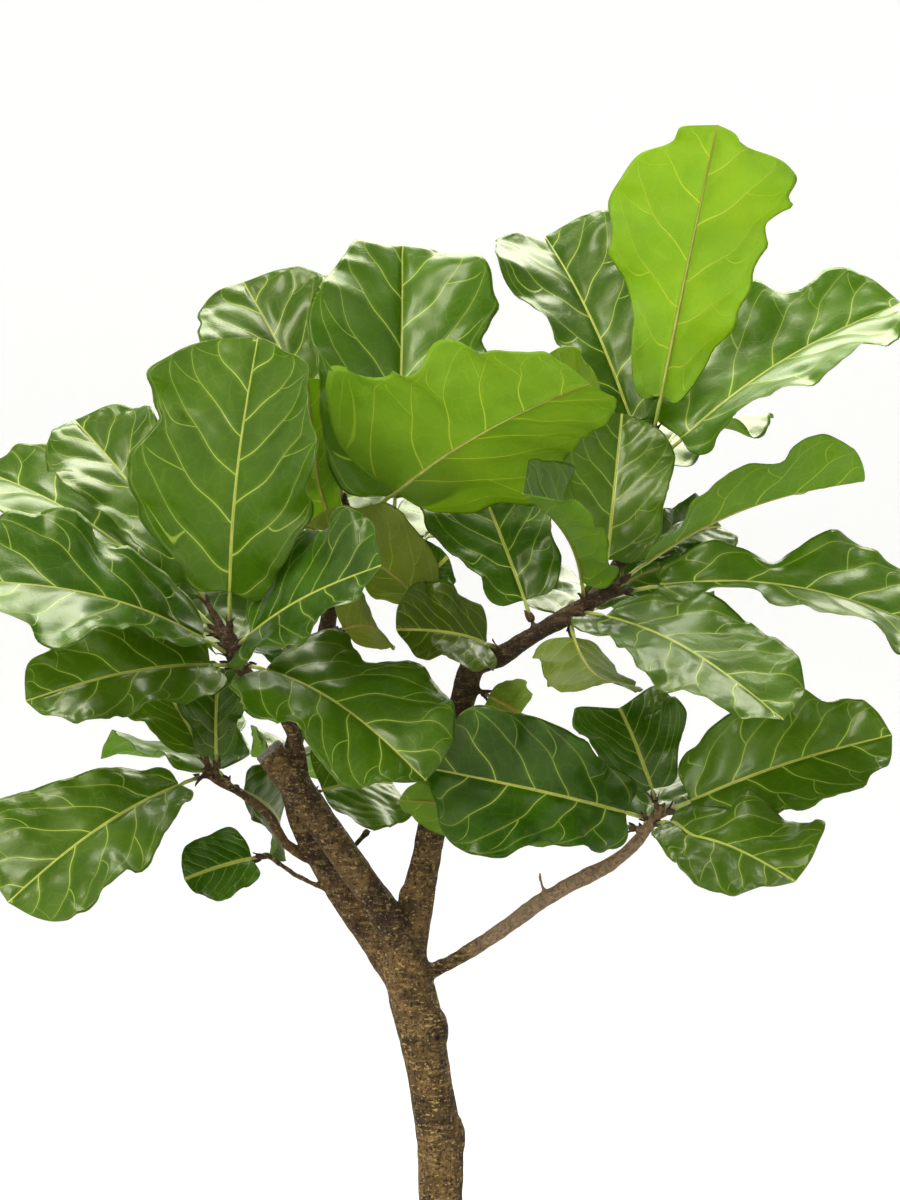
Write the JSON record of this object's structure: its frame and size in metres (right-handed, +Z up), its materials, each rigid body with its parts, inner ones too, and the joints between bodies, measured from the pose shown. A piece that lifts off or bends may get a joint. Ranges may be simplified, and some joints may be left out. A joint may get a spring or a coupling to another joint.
{
  "type": "potted fiddle leaf fig",
  "caption": "Branching fiddle leaf fig tree with large leathery leaves, in a plain round ceramic pot.",
  "frame": {"origin": "centre of the underside of the pot, where it rests", "axes": "+Z up the trunk, -Y towards the viewer of the front, +X to that viewer's right"},
  "size_m": [1.0867, 0.6902, 1.785],
  "materials": {
    "bark": "rough grey-brown bark with pale flecks",
    "leaf": "waxy semi-gloss above, matt below",
    "soil": "loose bark chips and peat, matt",
    "pot_ceramic": "matt stoneware"
  },
  "bodies": {
    "root": {"pot": "pot_ceramic", "soil": "soil", "trunk_and_branches": "bark", "crown_sunlit": "leaf", "crown_behind": "leaf", "crown_right": "leaf", "crown_small": "leaf", "crown_young": "leaf", "crown_rear": "leaf", "upper_tall": "leaf", "upper_bright": "leaf", "upper_left": "leaf", "upper_lime": "leaf", "upper_rear": "leaf", "upper_rear_left": "leaf", "left_tall": "leaf", "left_high": "leaf", "left_far": "leaf", "left_broad": "leaf", "left_lime": "leaf", "left_low": "leaf", "left_rear": "leaf", "front_fold": "leaf", "front_cup": "leaf", "side_broad": "leaf", "side_up": "leaf", "side_up_right": "leaf", "side_behind": "leaf", "side_small": "leaf", "side_rear": "leaf", "fork_leaf": "leaf", "fork_rear": "leaf", "low_broad": "leaf", "low_lime": "leaf", "low_heart": "leaf", "low_right": "leaf", "low_front": "leaf", "low_rear": "leaf", "right_up": "leaf", "right_folded": "leaf", "right_under": "leaf", "right_behind": "leaf", "right_broad": "leaf", "right_front": "leaf", "right_hanging": "leaf", "right_dark": "leaf", "right_small": "leaf", "right_rear": "leaf", "centre_lime": "leaf", "centre_small": "leaf", "centre_droop": "leaf", "centre_hanging": "leaf", "centre_behind": "leaf", "centre_shaded": "leaf", "centre_back": "leaf", "centre_rear": "leaf"}
  },
  "joints": []
}
